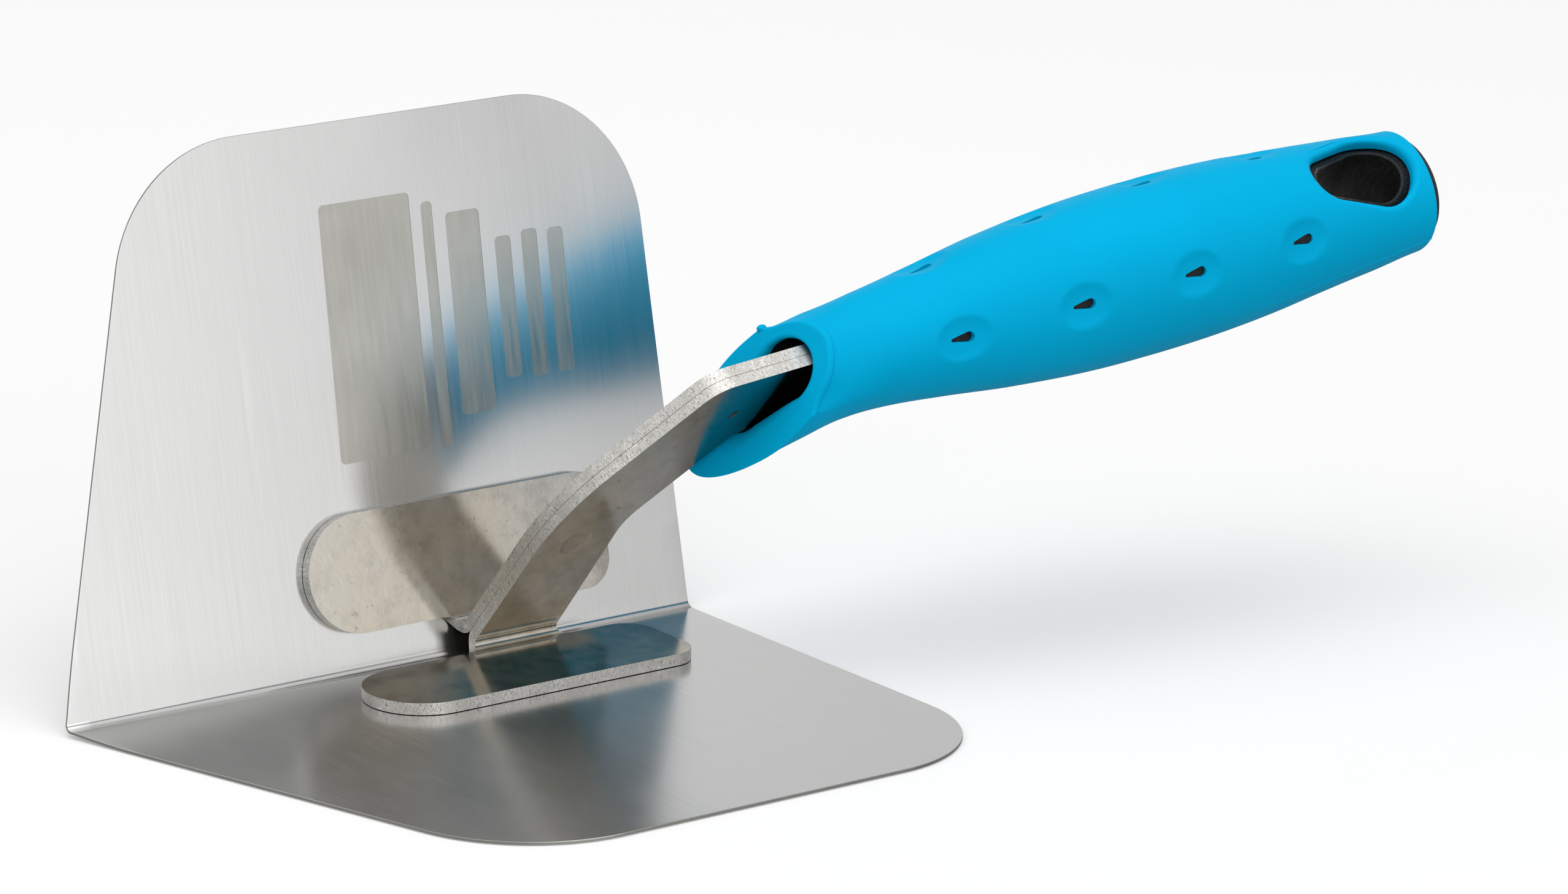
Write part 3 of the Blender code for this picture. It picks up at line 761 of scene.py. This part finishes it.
def shank_outline(start):
    """The web and tang's outline in the halving plane, from the front of the bend to its rear."""
    mouth = on_corner(*TANG_MOUTH)
    necked = on_corner(TANG_NECKED, TANG_BOTTOM)
    end_bottom = on_corner(TANG_END, TANG_BOTTOM)
    end_top = on_corner(TANG_END, TANG_TOP)
    front_turn = crossing(SHANK_FRONT_CORNER, SHANK_LEAN, end_top, HANDLE_LEAN)
    rear_turn = crossing(SHANK_REAR_CORNER, SHANK_LEAN, mouth, HANDLE_LEAN)
    front = (WEB_FRONT, start)
    rear = (WEB_REAR, start)
    return [
        *rounded(front, SHANK_FRONT_CORNER, front_turn, SHANK_FRONT_RADIUS, 24),
        *rounded(SHANK_FRONT_CORNER, front_turn, end_top, TANG_BEND_RADIUS),
        *rounded(front_turn, end_top, end_bottom, TANG_END_CORNER, 6),
        *rounded(end_top, end_bottom, necked, TANG_END_CORNER, 6),
        necked,
        *rounded(necked, rear_turn, SHANK_REAR_CORNER, TANG_BEND_RADIUS),
        *rounded(rear_turn, SHANK_REAR_CORNER, rear, SHANK_REAR_RADIUS),
    ]


def bracket_mesh(name, side):
    low, high = SHEET + FOOT_GAP, SHEET + FOOT_GAP + PLATE
    far, near = SEAM_GAP / 2, SEAM_GAP / 2 + PLATE
    radii = (BEND_RADIUS, BEND_RADIUS + PLATE)
    centre_across = near + BEND_RADIUS
    centre_out = (high + BEND_RADIUS + centre_across * cos(HALF_CORNER)) / sin(HALF_CORNER)
    edge = centre_out * cos(HALF_CORNER) + centre_across * sin(HALF_CORNER)
    turn = pi - HALF_CORNER
    half_plate = sum(radii) / 2

    def flare(folded):
        left = max(0, NOTCH_RADIUS - folded)
        return NOTCH_RADIUS - sqrt(NOTCH_RADIUS**2 - left**2)

    def row(angle):
        wider = flare((turn - angle) * half_plate)
        return [
            [corner_point(along, centre_out - radius * sin(angle),
                          side * (centre_across - radius * cos(angle)))
             for radius in radii]
            for along in (WEB_REAR + wider, WEB_FRONT - wider)
        ]

    rows = [row(turn * (1 - k / BEND_STEPS)) for k in range(BEND_STEPS + 1)]
    far_edge = edge + FOOT_WIDTH
    toe_round = FOOT_WIDTH / 2 - HAIR
    front = (WEB_FRONT - flare(0), edge)
    rear = (WEB_REAR + flare(0), edge)
    corners = [(FOOT_TOE, edge), (FOOT_TOE, far_edge), (FOOT_HEEL, far_edge), (FOOT_HEEL, edge)]
    foot = [
        *rounded(front, corners[0], corners[1], toe_round, 24),
        *rounded(corners[0], corners[1], corners[2], toe_round, 24),
        *rounded(corners[1], corners[2], corners[3], FOOT_HEEL_CORNER, 14),
        *rounded(corners[2], corners[3], rear, FOOT_HEEL_CORNER, 14),
    ]
    first = [[wing_point(along, width, height, side) for height in (high, low)] for along, width in foot]
    last = [
        [corner_point(along, out, side * across) for across in (near, far)]
        for along, out in reversed(shank_outline(centre_out))
    ]
    return folded_plate(name, first, rows, last)


def weld_mark_tool(name, side, place, size, finish):
    """A shallow lens pressed into the shank's outer face."""
    length, width, depth = size
    centre = corner_point(*place, side * (SEAM_GAP / 2 + PLATE))
    along = (ALONG * cos(SHANK_LEAN) + OUT * sin(SHANK_LEAN)).normalized()
    sideways = ACROSS.cross(along)
    rings = []
    for k in range(1, 12):
        tilt = -pi / 2 + pi * k / 12
        rings.append([
            centre + along * length * cos(tilt) * cos(t) + sideways * width * cos(tilt) * sin(t)
            + ACROSS * depth * sin(tilt)
            for t in (2 * pi * n / 32 for n in range(32))
        ])
    return add_object(name, loft(name, rings), [finish])


def add_brackets():
    # worn is the corners' finish: edge wear with a painted highlight
    plate, worn = mill_plate(), worn_and_highlit_corner()
    weld = cloudy_steel("weld_steel", 300, (0.34, 0.32, 0.31), (0.47, 0.45, 0.43), (0.42, 0.6), 0.2, 0.00005)
    scar = cloudy_steel("weld_scar", 500, (0.42, 0.38, 0.32), (0.52, 0.49, 0.44), (0.2, 0.34), 0.1, 0.00003)
    pit = cloudy_steel("weld_pit", 500, (0.06, 0.055, 0.05), (0.14, 0.13, 0.12), (0.5, 0.64), 0.1, 0.00003)
    web_edge = cut_edge("web_edge", ACROSS)
    for node, side, normal in (("lower_bracket", 1, Vector((0, 0, 1))),
                               ("upper_bracket", -1, wing_point(0, 0, 1, -1) - wing_point(0, 0, 0, -1))):
        name = node.replace("bracket", "plate")
        foot_edge = cut_edge(f"{name}_edge", normal)
        bracket = add_object(name, bracket_mesh(name, side), [plate, foot_edge, web_edge, worn])
        bevel(bracket, PLATE_BEVEL, 3, 50, 3)
        settle(bracket)
        marks = [weld_mark_tool(f"{name}_mark_{k}", side, place, size, finish)
                 for k, ((place, size), finish) in enumerate(zip(WELD_MARKS, (scar, pit)), 1)]
        cut(bracket, join_solids(f"{name}_marks", marks), keep_finish=True)
        even_shading(bracket, 40)
        finish_piece(bracket, node)
    for name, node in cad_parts.items():
        if "weld" in name:
            dress(node, weld)


# Handle


def blend(before, start, end, after, share):
    """Smooth curve between start and end that keeps the slope of its neighbours."""
    square, cube = share**2, share**3
    return (
        start
        + (end - before) / 2 * (share - 2 * square + cube)
        + (end - start) * (3 * square - 2 * cube)
        + (after - start) / 2 * (cube - square)
    )


def shape_at(reach):
    """(top, bottom, half width, squareness above, squareness below) of the section at this reach."""
    last = len(HANDLE_STATIONS) - 1
    k = 0
    while k < last - 1 and HANDLE_STATIONS[k + 1][0] < reach:
        k += 1
    around = [HANDLE_STATIONS[min(max(n, 0), last)] for n in range(k - 1, k + 3)]
    share = (reach - around[1][0]) / (around[2][0] - around[1][0])
    return [blend(*values, min(max(share, 0), 1)) for values in list(zip(*around))[1:]]


def smooth(value, start, end):
    share = min(max((value - start) / (end - start), 0), 1)
    return share * share * (3 - 2 * share)


def surface_point(shape, turn, press=0.0, inset=0.0):
    """(rise, across) on a section. press pushes square to the surface, inset shrinks the section."""
    top, bottom, half_width, above, below = shape
    up, side = cos(turn), sin(turn)
    height, squareness = (top - inset, above) if up > 0 else (bottom - inset, below)
    width = half_width - inset
    rise = height * abs(up) ** (2 / squareness) * (1 if up > 0 else -1)
    across = width * abs(side) ** (2 / squareness) * (1 if side > 0 else -1)
    steep, flat = rise / height**2, across / width**2
    length = hypot(steep, flat)
    return rise - steep / length * press, across - flat / length * press


def surface_rise(shape, across, inset=0.0, up=1):
    """Height of the section's surface above its middle, at a place across it."""
    top, bottom, half_width, above, below = shape
    height, squareness = (top - inset, above) if up > 0 else (bottom - inset, below)
    share = min(abs(across) / (half_width - inset), 1)
    return height * (1 - share**squareness) ** (1 / squareness)


def nose_reach(rise):
    """Where the slanted nose face is at this rise."""
    return NOSE_POINT[0] + (rise - NOSE_POINT[1]) * tan(NOSE_LEAN)


def dimples(reach, turn, shape):
    """How deep the shallow ovals round the grip windows are here."""
    depth = 0.0
    for centre in WINDOW_REACHES:
        away = (reach - centre) / DIMPLE_HALF_LENGTH
        aside = (abs(turn) - WINDOW_TURN) * (shape[0] + shape[2]) / 2 / DIMPLE_HALF_WIDTH
        left = 1 - away**2 - aside**2
        if left > 0:
            depth += DIMPLE_DEPTH * left**DIMPLE_EDGE
    return depth


def lip(behind):
    """Height of the nose's lip at this distance behind the nose face."""
    if behind < LIP_WIDTH:
        return LIP_RISE
    step = smooth(behind, LIP_WIDTH, LIP_WIDTH + LIP_STEP)
    back = smooth(behind, LIP_WIDTH + LIP_STEP, LIP_WIDTH + 4 * LIP_STEP)
    return LIP_RISE - (LIP_RISE + LIP_GROOVE) * step + LIP_GROOVE * back


def pinch(behind, turn):
    """How far the shoulders of the nose are drawn in, at this distance behind the nose face."""
    off = (abs(turn) - PINCH_TURN) / PINCH_SPREAD
    return PINCH_DEPTH * exp(-off * off) * (1 - smooth(behind, 0, PINCH_LENGTH))


def parting_line(reach, turn):
    """Height of the moulding line along the middle of each flank."""
    off = abs(abs(turn) - pi / 2)
    uneven = 0.7 + 0.3 * sin(reach * 5200) * sin(reach * 1900)
    fade = smooth(reach, SEAM_START, SEAM_START + SEAM_FADE)
    return SEAM_RISE * uneven * (1 - smooth(off, 0, SEAM_WIDTH)) * fade


def sleeve_turns():
    turns = [2 * pi * (k + 0.5) / RING_SIDES - pi for k in range(RING_SIDES)]
    for flank in (-pi / 2, pi / 2):
        turns += [flank + side * off for off in SEAM_TURNS for side in (-1, 1)] + [flank]
    return sorted(turns)


def sleeve_row(turns, behind, inset=0.0, reach=None):
    """A row of the sleeve's surface, behind the nose face or, further back, square to the handle."""
    squared = 1 if reach else smooth(behind, *SLANT_END)
    points = []
    for turn in turns:
        rise = across = 0.0
        for _ in range(1 if reach else SOLVE_STEPS):
            place = reach or squared * (NOSE_POINT[0] + behind) + (1 - squared) * (nose_reach(rise) + behind)
            shape = shape_at(place)
            press = dimples(place, turn, shape) + pinch(behind, turn) - lip(behind)
            press -= parting_line(place, turn)
            rise, across = surface_point(shape, turn, press + (0 if reach else inset), inset if reach else 0)
        points.append(handle_point(place, rise, across))
    return points


def sleeve_mesh():
    turns = sleeve_turns()
    rings = []
    for k in range(6):
        angle = pi / 2 * k / 5
        rings.append(sleeve_row(turns, NOSE_EDGE * (1 - cos(angle)), NOSE_EDGE * (1 - sin(angle))))
    behinds = [LIP_WIDTH * 0.7, LIP_WIDTH] + [LIP_WIDTH + LIP_STEP * k / 4 for k in range(1, 5)]
    behinds += [LIP_WIDTH + LIP_STEP * k for k in (1.5, 2, 3, 4.2)]
    end = HANDLE_STATIONS[-1][0]
    start = behinds[-1]
    count = round((end - NOSE_POINT[0] - start) / ROW_SPACING)
    behinds += [start + (end - NOSE_POINT[0] - start) * k / count for k in range(1, count)]
    rings += [sleeve_row(turns, behind) for behind in behinds]
    for k in range(RIM_STEPS + 1):
        angle = pi / 2 * k / RIM_STEPS
        reach = end + (RIM_END - end) * sin(angle)
        rings.append(sleeve_row(turns, end, RIM_DRAW * (1 - cos(angle)), reach))
    return loft("sleeve", rings)


def ring(reach, shape, inset=0.0):
    turns = [2 * pi * k / RING_SIDES for k in range(RING_SIDES)]
    return [handle_point(reach, *surface_point(shape, turn, 0, inset)) for turn in turns]


def inner_rings(inset, front, rear):
    count = round((rear - front) / ROW_SPACING / 2)
    reaches = [front + (rear - front) * k / count for k in range(count + 1)]
    return [ring(reach, shape_at(reach), inset) for reach in reaches]


def core_mesh():
    rings = inner_rings(SLEEVE_WALL + GAP, CORE_FRONT, HANDLE_STATIONS[-1][0])
    sizes = [size - RIM_INSET - NUB_GAP for size in HANDLE_STATIONS[-1][1:4]]
    for k in range(DOME_STEPS):
        turn = pi / 2 * k / DOME_STEPS
        shape = [*(size * cos(turn) for size in sizes), *HANDLE_STATIONS[-1][4:]]
        rings.append(ring(RIM_END + BUTT_DOME * sin(turn), shape))
    return loft("core", rings)


def cavity_mesh():
    rings = inner_rings(SLEEVE_WALL, CORE_FRONT - GAP, HANDLE_STATIONS[-1][0])
    rings += [ring(RIM_END + past, HANDLE_STATIONS[-1][1:], RIM_INSET) for past in (0, CUT_SPAN)]
    return loft("sleeve_cavity", rings)


def mouth_place(reach, spot, wider):
    """A point of the mouth's outline at this reach: (rise, across). It has a wide round top and a
    narrow foot. spot runs over the top from 0 to 1, down to 2, round the foot to 3 and up to 4."""
    share = (reach - MOUTH_OUTER[0]) / (MOUTH_INNER[0] - MOUTH_OUTER[0])
    top, bottom, above, below = (a + (b - a) * share for a, b in zip(MOUTH_OUTER[1:], MOUTH_INNER[1:]))
    part, run = divmod(spot, 1)
    ends = [(top - above, above + wider), (bottom + below, below + wider)]
    turn = pi / 2 - pi * run
    if part == 0:
        rise, aside = ends[0][0] + ends[0][1] * cos(turn), ends[0][1] * sin(turn)
    elif part == 2:
        rise, aside = ends[1][0] - ends[1][1] * cos(turn), -ends[1][1] * sin(turn)
    else:
        first, last = ends if part == 1 else ends[::-1]
        rise, aside = (a + (b - a) * run for a, b in zip(first, last))
        aside = -aside if part == 1 else aside
    return rise, MOUTH_OFFSET + aside


def mouth_fillet(spot):
    """The fillet's radius where the mouth meets the nose face: small over the top, large round the foot."""
    low = smooth(spot, 1, 2) * (1 - smooth(spot, 3, 4))
    return MOUTH_FILLET[0] + (MOUTH_FILLET[1] - MOUTH_FILLET[0]) * low


def mouth_solid(name, layers, end, wall=0.0, arc_steps=24):
    """A solid along the mouth, up to reach end. layers are (behind, wider, filleted), and where
    filleted is true the other two are shares of the fillet's radius."""
    spots = [part + k / steps for part, steps in enumerate((arc_steps, SIDE_STEPS) * 2) for k in range(steps)]
    rings = []
    for behind, wider, filleted in layers:
        points = []
        for spot in spots:
            scale = mouth_fillet(spot) if filleted else 1
            rise = across = 0.0
            for _ in range(SOLVE_STEPS):
                reach = nose_reach(rise) + behind * scale
                rise, across = mouth_place(max(reach, MOUTH_OUTER[0]), spot, wider * scale + wall)
            points.append(handle_point(reach, rise, across))
        rings.append(points)
    rings.append([handle_point(end, *mouth_place(MOUTH_INNER[0], spot, wall)) for spot in spots])
    return loft(name, rings)


def mouth_mesh(end):
    """The slot for the tang, rounded over where it meets the nose face."""
    angles = [radians(10 * k) for k in range(8, -1, -1)]
    layers = [(MOUTH_START, 1 - cos(angles[0]), True)]
    layers += [(1 - sin(angle), 1 - cos(angle), True) for angle in angles]
    return mouth_solid("mouth_slot", layers, end)


def throat_mesh(name, depth, wall):
    """The core's black collar round the tang, from this depth behind the nose face: the core, and painted
    shade deep in the mouth.
    """
    return mouth_solid(name, [(depth, 0, False)], CORE_FRONT + 2 * GAP, wall)


def slot_mesh():
    """Room for the tang inside the core."""
    half_width = GAP / 2 + PLATE + GAP
    top, bottom = TANG_TOP + GAP, TANG_BOTTOM - GAP
    section = ((top, half_width), (top, -half_width), (bottom, -half_width), (bottom, half_width))
    rings = [[handle_point(reach, *spot) for spot in section] for reach in (0.0, TANG_END + GAP)]
    return loft("tang_slot", rings)


def teardrop(tip, centre, radius, tip_radius, steps=48, tip_steps=8):
    """Outline with its tip at one end and a round end at the other, in (length, width)."""
    tip_centre = tip + tip_radius
    lean = pi / 2 - atan2(radius - tip_radius, centre - tip_centre)
    sweep = pi - lean
    turns = [-sweep + 2 * sweep * k / steps for k in range(steps + 1)]
    tip_turns = [sweep + 2 * lean * k / tip_steps for k in range(tip_steps + 1)]
    round_end = [(centre + radius * cos(t), radius * sin(t)) for t in turns]
    return round_end + [(tip_centre + tip_radius * cos(t), tip_radius * sin(t)) for t in tip_turns]


def hole_mesh(name, ledge, inset, edge, up):
    """Cuts one side of the hang hole and rounds its edge by following the surface it opens through."""
    angles = [radians(8 * k) for k in range(11)]
    layers = [(0, edge)] + [(edge * (1 - cos(angle)), edge * (1 - sin(angle))) for angle in angles]
    rings = []
    for number, (wider, drop) in enumerate(layers):
        grown = wider - ledge
        radii = (HOLE_RADIUS + grown, HOLE_TIP_RADIUS + grown)
        points = []
        for length, width in teardrop(HOLE_TIP - grown, HOLE_CENTRE, *radii, 64, 40):
            rise = -GAP if number == 0 else surface_rise(shape_at(length), width, inset, up) - drop
            points.append((length, width, rise))
        rings.append([handle_point(length, up * rise, width) for length, width, rise in points])
    rings.append([handle_point(length, up * CUT_SPAN, width) for length, width, _ in points])
    return loft(name, rings)


def surface_at(reach, turn):
    """Point and outward direction on the handle, turned from the top towards the lower wing."""
    top, _, half_width = shape_at(reach)[:3]
    rise, across = top * cos(turn), half_width * sin(turn)
    outward = (RISE * (rise / top**2) + ACROSS * (across / half_width**2)).normalized()
    return handle_point(reach, rise, across), outward


def window_mesh(name, reach, turn, shrink, low, high):
    """A teardrop prism on the handle's surface, from low to high off it."""
    point, outward = surface_at(reach, turn)
    sideways = outward.cross(REACH).normalized()
    tip, centre = -WINDOW_LENGTH / 2, WINDOW_LENGTH / 2 - WINDOW_RADIUS
    outline = teardrop(tip + shrink, centre, WINDOW_RADIUS - shrink, WINDOW_RADIUS / 3, 16, 6)
    return loft(name, [
        [point + REACH * length + sideways * width + outward * lift for length, width in outline]
        for lift in (low, high)
    ])


def windows(name, shrink, low, high):
    """The eight window prisms, four each side of the handle's top, as one object."""
    solids = []
    for row, turn in (("near", WINDOW_TURN), ("far", -WINDOW_TURN)):
        for number, reach in enumerate(WINDOW_REACHES, 1):
            label = f"{name}_{row}_{number}"
            solids.append(add_object(label, window_mesh(label, reach, turn, shrink, low, high)))
    return join_solids(name, solids)


def flash_mesh():
    """The bead of flash that stands out where the mould halves meet at the nose."""
    rise, across = surface_point(shape_at(nose_reach(0) + LIP_WIDTH), -pi / 2, pinch(LIP_WIDTH, -pi / 2))
    centre = handle_point(nose_reach(0) + LIP_WIDTH / 2, rise, across)
    mesh = bpy.data.meshes.new("flash")
    with editing(mesh) as work:
        bmesh.ops.create_uvsphere(work, u_segments=24, v_segments=14, radius=1)
        for corner in work.verts:
            reach, up, side = (size * value for size, value in zip(FLASH_SIZE, corner.co))
            corner.co = centre + REACH * reach + RISE * up + ACROSS * (side - FLASH_SIZE[2] / 2)
    return mesh


def add_handle():
    grip, black, bore = soft_grip(), hard_core(), scraped_bore()
    core = add_object("core", core_mesh(), [black])
    nubs = windows("nubs", NUB_GAP, -SLEEVE_WALL - NUB_ROOT, -NUB_DROP)
    cut(core, nubs, operation="UNION")
    # the throat is black core and painted shade deep in the mouth
    cut(core, add_object("throat", throat_mesh("throat", THROAT_DEPTH, THROAT_WALL)), operation="UNION")
    bores = []
    for up in (1, -1):
        mesh = hole_mesh(f"bore_{up}", LINER_LEDGE, SLEEVE_WALL + GAP, BORE_FILLET, up)
        bores.append(add_object(f"bore_{up}", mesh, [bore]))
    throat_slot = add_object("throat_slot", mouth_mesh(CORE_FRONT + THROAT_PAST), [black])
    cut(core, throat_slot, add_object("tang_slot", slot_mesh(), [black]), *bores, keep_finish=True)
    even_shading(core, 40)
    finish_piece(core, "handle_core")

    sleeve = add_object("sleeve", sleeve_mesh(), [grip])
    cut(sleeve, add_object("flash", flash_mesh()), operation="UNION")
    cut(
        sleeve,
        add_object("sleeve_cavity", cavity_mesh()),
        add_object("mouth_slot", mouth_mesh(CORE_FRONT)),
        add_object("throat_cut", throat_mesh("throat_cut", THROAT_DEPTH - NUB_GAP, THROAT_WALL + NUB_GAP)),
        *(add_object(f"hole_{up}", hole_mesh(f"hole_{up}", 0, 0, HOLE_FILLET, up)) for up in (1, -1)),
        windows("window_cuts", 0, -SLEEVE_WALL - GAP / 2, WINDOW_PAST),
    )
    even_shading(sleeve, 40)
    finish_piece(sleeve, "grip_sleeve")


# Assembly


def finish_piece(obj, node):
    """The piece rides on the rigid body and stands for its CAD node, which is hidden."""
    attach(obj, "root")
    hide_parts(node)


def dress(node, finish):
    """Gives a CAD node that stays its procedural material."""
    node.data.materials.clear()
    node.data.materials.append(finish)


def add_floor():
    half = FLOOR_SIZE / 2
    corners = [(-half, -half, 0), (half, -half, 0), (half, half, 0), (-half, half, 0)]
    drop = Vector((0, 0, -FLOOR_DROP))
    mesh = mesh_from("floor", [Vector(c) + drop for c in corners], [(0, 1, 2, 3)])
    floor = add_object("floor", mesh, [pale_floor()])
    floor.visible_diffuse = False  # it catches shadows but doesn't light the object,
    floor.visible_glossy = False  # so the steel reflects the studio's dim lower half instead


def level_ramp(value, stops):
    """A grey ramp over a value from -1 to 1. stops are (value, level)."""
    ramp = add_node(value.id_data, "ValToRGB", Fac=combine("MULTIPLY_ADD", value, 0.5, 0.5))
    ramp.color_ramp.interpolation = "EASE"
    elements = ramp.color_ramp.elements
    for _ in stops[2:]:
        elements.new(0.5)
    for element, (place, level) in zip(elements, stops):
        element.position = (place + 1) / 2
        element.color = (level, level, level, 1)
    return ramp.outputs["Color"]


def add_world():
    """A plain studio: grey walls to the left, right and front, whose brightness changes with height
    and, at the sides, along the fold. A direction's parts pick the wall and the level."""
    world = bpy.data.worlds.new("studio")
    bpy.context.scene.world = world
    world.use_nodes = True
    tree = world.node_tree
    direction = add_node(tree, "TexCoord").outputs["Generated"]
    across, along, height = add_node(tree, "SeparateXYZ", Vector=direction).outputs
    left, right = (
        combine("MULTIPLY", level_ramp(height, wall), level_ramp(along, shade))
        for wall, shade in ((LEFT_WALL, LEFT_SHADE), (RIGHT_WALL, RIGHT_SHADE))
    )
    walls = mix(spread(across, 0, 1, -0.3, 0.3), left, right)
    forward = spread(along, 1, 0, -0.65, -0.25)
    lit = mix(forward, walls, level_ramp(height, FRONT_WALL))
    background = tree.nodes["Background"]
    feed(background.inputs["Color"], lit)
    feed(background.inputs["Strength"], WORLD_STRENGTH)


def add_light():
    """A soft box overhead."""
    lamp = bpy.data.lights.new("overhead", "AREA")
    lamp.shape = "SQUARE"
    lamp.size = OVERHEAD_SIZE
    lamp.energy = OVERHEAD_POWER
    obj = bpy.data.objects.new("overhead", lamp)
    obj.location = OVERHEAD_PLACE
    aim = Vector(OVERHEAD_TARGET) - Vector(OVERHEAD_PLACE)
    obj.rotation_euler = aim.to_track_quat("-Z", "Y").to_euler()
    bpy.context.scene.collection.objects.link(obj)


def add_camera():
    data = bpy.data.cameras.new("camera")
    data.sensor_width = 36
    data.lens = CAMERA_LENS
    data.shift_x, data.shift_y = CAMERA_SHIFT
    data.clip_end = 20
    camera = bpy.data.objects.new("camera", data)
    camera.location = CAMERA_PLACE
    aim = Vector(CAMERA_VIEW).to_track_quat("-Z", "Y").to_matrix()
    camera.rotation_euler = (aim @ Matrix.Rotation(CAMERA_ROLL, 3, "Z")).to_euler()
    bpy.context.scene.collection.objects.link(camera)
    bpy.context.scene.camera = camera


add_blade()
add_brackets()
add_handle()
add_floor()
add_world()
add_light()
add_camera()
bpy.context.scene.view_settings.view_transform = "Standard"
